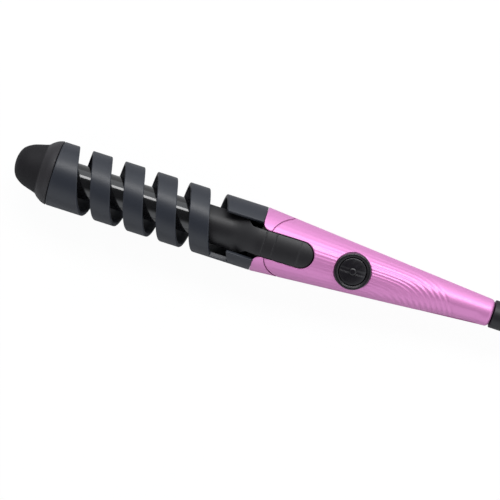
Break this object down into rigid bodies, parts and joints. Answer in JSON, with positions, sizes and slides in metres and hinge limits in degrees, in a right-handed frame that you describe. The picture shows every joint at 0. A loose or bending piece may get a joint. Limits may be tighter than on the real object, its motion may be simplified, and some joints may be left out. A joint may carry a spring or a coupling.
{
  "type": "automatic hair curler",
  "caption": "Spiral hair curler: heated barrel in a slotted spiral cage, sprung hair clip, tapered handle with rocker switch, and a swivel cord.",
  "frame": {"origin": "on the barrel axis, halfway along the whole length from the tip to the cord end", "axes": "+X along the barrel axis from the tip to the cord, +Z out of the face side with the clip lever and the switch"},
  "size_m": [0.3788, 0.04, 0.0401],
  "materials": {
    "cage_plastic": "satin moulded blue-grey heat-resistant plastic",
    "tip_plastic": "fine matt black moulded plastic",
    "lever_plastic": "satin black moulded plastic",
    "ceramic_coat": "glossy black ceramic coat on an aluminium tube",
    "pink_paint": "pearl pink satin paint with fine flowing engraved lines",
    "gloss_black": "polished black moulded plastic",
    "rubber_black": "soft black cord rubber",
    "steel": "plain bright steel",
    "aluminium": "extruded aluminium",
    "brass": "stamped brass",
    "heat_nylon": "dark brown glass-filled nylon",
    "heater_ceramic": "pressed ceramic heater",
    "insulation": "amber insulating film",
    "board": "green circuit board",
    "wire_red": "red wire insulation",
    "wire_blue": "blue wire insulation",
    "wire_white": "white wire insulation"
  },
  "bodies": {
    "root": {"tip_cap": "tip_plastic", "tip_screw": "steel", "barrel_front_plug": "heat_nylon", "spiral_cage": "cage_plastic", "cage_screw_left": "steel", "cage_screw_right": "steel", "heat_barrel": "ceramic_coat", "insulation_sleeve": "insulation", "heat_spreader_upper": "aluminium", "heat_spreader_lower": "aluminium", "ptc_heater_plate": "heater_ceramic", "electrode_upper": "brass", "electrode_lower": "brass", "thermal_fuse": "steel", "barrel_holder": "heat_nylon", "clip_pivot_pin": "steel", "clip_spring": "steel", "handle_face_panel": "pink_paint", "handle_back_shell": "pink_paint", "handle_screw_front": "steel", "handle_screw_rear": "steel", "switch_bezel": "gloss_black", "switch_body": "heat_nylon", "switch_terminal_common": "brass", "switch_terminal_low": "brass", "switch_terminal_high": "brass", "control_board": "board", "half_power_diode": "rubber_black", "lamp_resistor": "wire_blue", "lead_heater_live": "wire_red", "lead_heater_neutral": "wire_white", "lead_switch": "wire_red", "lead_swivel_live": "wire_red", "lead_swivel_neutral": "wire_blue", "swivel_bush": "heat_nylon", "brush_live": "brass", "brush_neutral": "brass"},
    "clip": {"clip_lever": "lever_plastic"},
    "rocker": {"rocker": "gloss_black", "rocker_lamp_lens": "gloss_black"},
    "swivel": {"swivel_sleeve": "gloss_black", "slip_ring_live": "brass", "slip_ring_neutral": "brass", "swivel_retaining_ring": "steel", "strain_relief": "rubber_black", "power_cord": "rubber_black", "cord_core_live": "wire_red", "cord_core_neutral": "wire_blue"}
  },
  "joints": [
    {"name": "clip_hinge", "type": "hinge", "parent": "root", "child": "clip", "pos_m": [-0.0331, 0, 0.013], "axis": [0, 1, 0], "range_deg": [0, 7], "stiffness_Nm_per_rad": 0.3, "springref_deg": -11.46, "deforming": ["clip_spring"]},
    {"name": "rocker_hinge", "type": "hinge", "parent": "root", "child": "rocker", "pos_m": [0.02348, 0, 0.0139], "axis": [0.9969, 0, -0.0792], "range_deg": [-7, 7]},
    {"name": "cord_swivel", "type": "hinge", "parent": "root", "child": "swivel", "pos_m": [0.1122, 0, 0], "axis": [1, 0, 0], "continuous": true}
  ]
}
